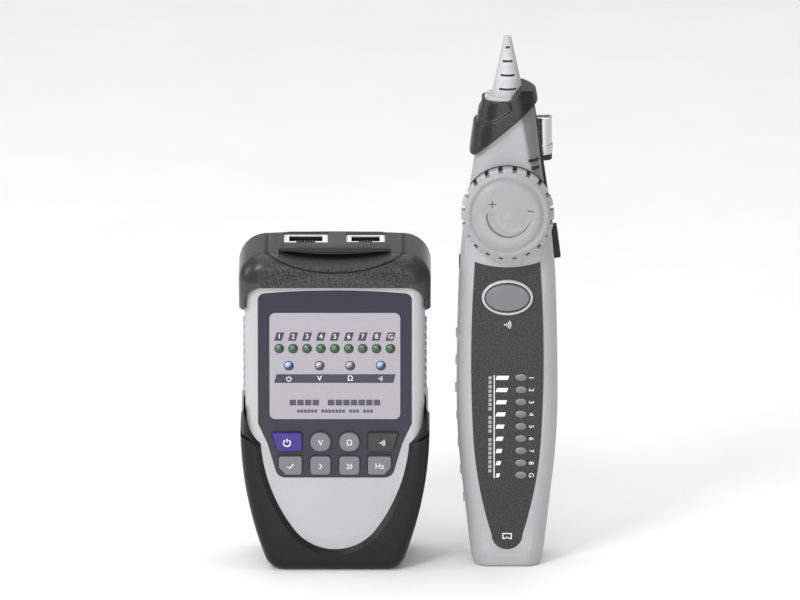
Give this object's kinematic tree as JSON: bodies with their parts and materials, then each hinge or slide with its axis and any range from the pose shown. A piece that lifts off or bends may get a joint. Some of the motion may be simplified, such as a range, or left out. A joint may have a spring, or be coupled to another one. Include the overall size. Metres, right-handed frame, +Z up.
{
  "type": "cable tracer set",
  "caption": "Two-piece cable tracer: a pocket tester with line sockets, indicator lamps and a key field, and a slim pickup probe with a notched dial and a pointed tip.",
  "frame": {"origin": "centre of the tester's flat base, on the surface that both units stand on", "axes": "+Z up along both units, +X from the tester towards the probe, -Y out of the key field and the dial"},
  "size_m": [0.1157, 0.0404, 0.195],
  "materials": {
    "shell_grey": "fine spark-eroded texture",
    "dark_plastic": "fine spark-eroded texture",
    "cap_plastic": "coarse grain",
    "boot_rubber": "soft satin",
    "panel_film": "satin film",
    "window_film": "satin film",
    "label_film": "leather grain film",
    "key_grey": "satin",
    "key_violet": "satin",
    "key_dark": "satin",
    "knob_grey": "satin",
    "trim_grey": "satin",
    "socket_white": "gloss",
    "led_green": "clear tinted",
    "led_blue": "clear tinted",
    "led_pipe": "frosted",
    "mat_rubber": "soft",
    "board": "solder mask",
    "battery_case": "printed",
    "steel": "bright",
    "chrome_trim": "polished",
    "lens_clear": "clear"
  },
  "bodies": {
    "tester": {"tester_front_shell": "shell_grey", "tester_rear_shell": "dark_plastic", "tester_head_cap": "cap_plastic", "socket_bezel": "cap_plastic", "rj45_socket": "socket_white", "rj11_socket": "socket_white", "tester_boot": "boot_rubber", "tester_face_panel": "panel_film", "display_window": "window_film", "line_leds": "led_green", "status_leds": "led_blue", "keypad_mat": "mat_rubber", "tester_circuit_board": "board", "tester_battery": "battery_case", "tester_battery_snap": "dark_plastic", "tester_buzzer": "dark_plastic", "tester_screws": "steel"},
    "power_key": {"power_key": "key_violet"},
    "volt_key": {"volt_key": "key_grey"},
    "ohm_key": {"ohm_key": "key_grey"},
    "scan_mode_key": {"scan_mode_key": "key_dark"},
    "test_key": {"test_key": "key_grey"},
    "slow_key": {"slow_key": "key_grey"},
    "fast_key": {"fast_key": "key_grey"},
    "hertz_key": {"hertz_key": "key_grey"},
    "tester_door": {"tester_battery_door": "dark_plastic"},
    "probe": {"probe_front_shell": "shell_grey", "probe_rear_shell": "dark_plastic", "probe_tip": "shell_grey", "pickup_antenna": "dark_plastic", "probe_collar": "boot_rubber", "gain_potentiometer": "steel", "scan_key_bezel": "trim_grey", "probe_label": "label_film", "probe_leds": "led_pipe", "probe_circuit_board": "board", "lamp_barrel": "chrome_trim", "lamp_lens": "lens_clear", "lamp_boot": "boot_rubber", "earphone_socket": "dark_plastic", "probe_speaker": "steel", "probe_line_socket": "socket_white", "probe_battery": "battery_case", "probe_battery_snap": "dark_plastic", "probe_screws": "steel"},
    "knob": {"sensitivity_knob": "knob_grey", "knob_spindle": "steel"},
    "scan_key": {"scan_key": "key_grey"},
    "lamp_switch": {"lamp_switch": "boot_rubber"},
    "probe_door": {"probe_battery_door": "dark_plastic"}
  },
  "joints": [
    {"name": "power_key_press", "type": "slide", "parent": "tester", "child": "power_key", "axis": [0, 1, 0], "range_m": [0, 0.001], "stiffness_N_per_m": 300},
    {"name": "volt_key_press", "type": "slide", "parent": "tester", "child": "volt_key", "axis": [0, 1, 0], "range_m": [0, 0.001], "stiffness_N_per_m": 300},
    {"name": "ohm_key_press", "type": "slide", "parent": "tester", "child": "ohm_key", "axis": [0, 1, 0], "range_m": [0, 0.001], "stiffness_N_per_m": 300},
    {"name": "scan_mode_key_press", "type": "slide", "parent": "tester", "child": "scan_mode_key", "axis": [0, 1, 0], "range_m": [0, 0.001], "stiffness_N_per_m": 300},
    {"name": "test_key_press", "type": "slide", "parent": "tester", "child": "test_key", "axis": [0, 1, 0], "range_m": [0, 0.001], "stiffness_N_per_m": 300},
    {"name": "slow_key_press", "type": "slide", "parent": "tester", "child": "slow_key", "axis": [0, 1, 0], "range_m": [0, 0.001], "stiffness_N_per_m": 300},
    {"name": "fast_key_press", "type": "slide", "parent": "tester", "child": "fast_key", "axis": [0, 1, 0], "range_m": [0, 0.001], "stiffness_N_per_m": 300},
    {"name": "hertz_key_press", "type": "slide", "parent": "tester", "child": "hertz_key", "axis": [0, 1, 0], "range_m": [0, 0.001], "stiffness_N_per_m": 300},
    {"name": "tester_door_pull", "type": "slide", "parent": "tester", "child": "tester_door", "axis": [0, 1, 0], "range_m": [0, 0.03]},
    {"name": "probe_lift", "type": "slide", "parent": "tester", "child": "probe", "axis": [0, 0, 1], "range_m": [0, 0.15]},
    {"name": "knob_turn", "type": "hinge", "parent": "probe", "child": "knob", "pos_m": [0.062, -0.0121, 0.1325], "axis": [0, -0.9925, 0.1219], "range_deg": [-140, 140]},
    {"name": "scan_key_press", "type": "slide", "parent": "probe", "child": "scan_key", "axis": [0, 1, 0], "range_m": [0, 0.001], "stiffness_N_per_m": 300},
    {"name": "lamp_switch_press", "type": "slide", "parent": "probe", "child": "lamp_switch", "axis": [-0.9914, 0, -0.1305], "range_m": [0, 0.0008], "stiffness_N_per_m": 300},
    {"name": "probe_door_pull", "type": "slide", "parent": "probe", "child": "probe_door", "axis": [0, 1, 0], "range_m": [0, 0.03]}
  ]
}
